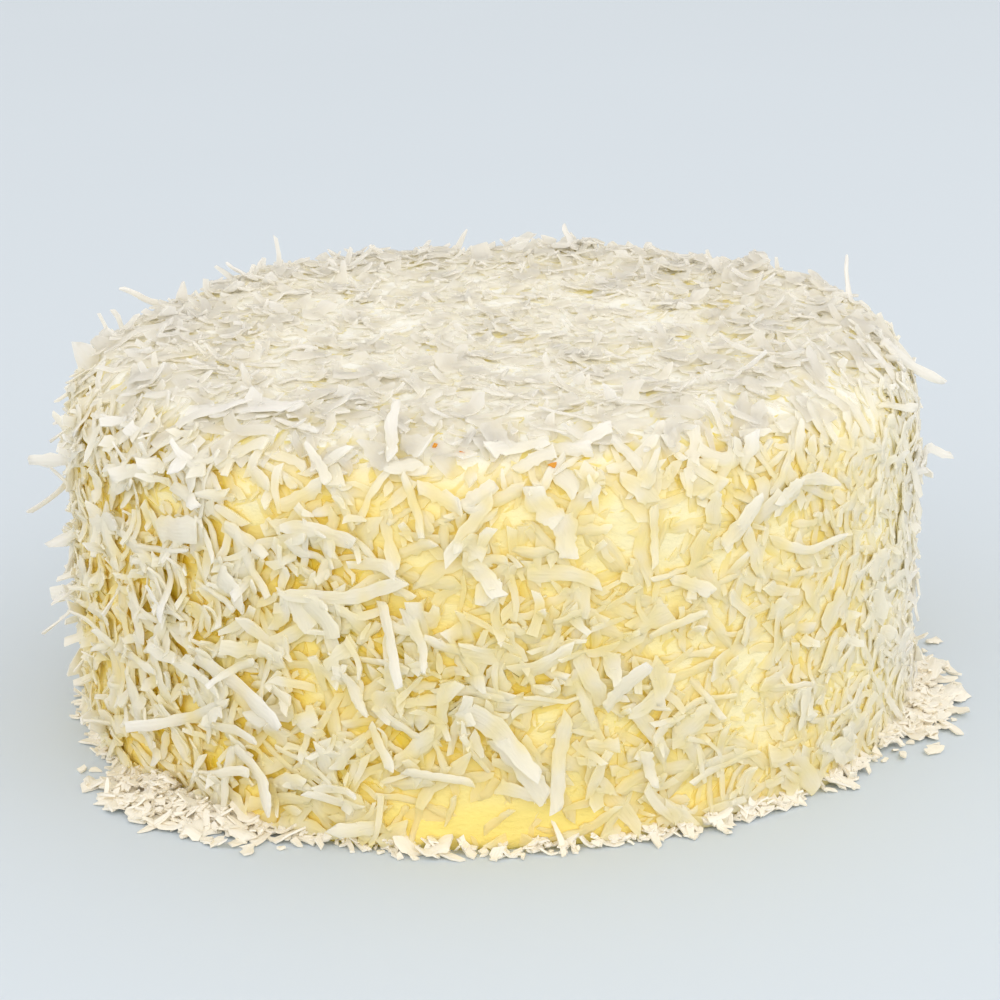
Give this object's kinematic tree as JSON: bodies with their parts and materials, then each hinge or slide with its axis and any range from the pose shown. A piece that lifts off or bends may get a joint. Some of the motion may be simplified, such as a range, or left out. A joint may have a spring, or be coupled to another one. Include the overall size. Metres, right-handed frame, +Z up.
{
  "type": "coconut cake",
  "caption": "Round frosted cake, uncut, with shreds of coconut over its top, rounded shoulder and side.",
  "frame": {"origin": "centre of the flat underside that the cake stands on", "axes": "+Z up, along the round cake's axis; -Y towards the front of the picture's view; +X to the right of it"},
  "size_m": [0.2274, 0.2234, 0.1032],
  "materials": {
    "frosting": "soft satin frosting, pale butter yellow, under matte cream-white coconut"
  },
  "bodies": {
    "root": {"coconut_cake": "frosting"}
  },
  "joints": []
}
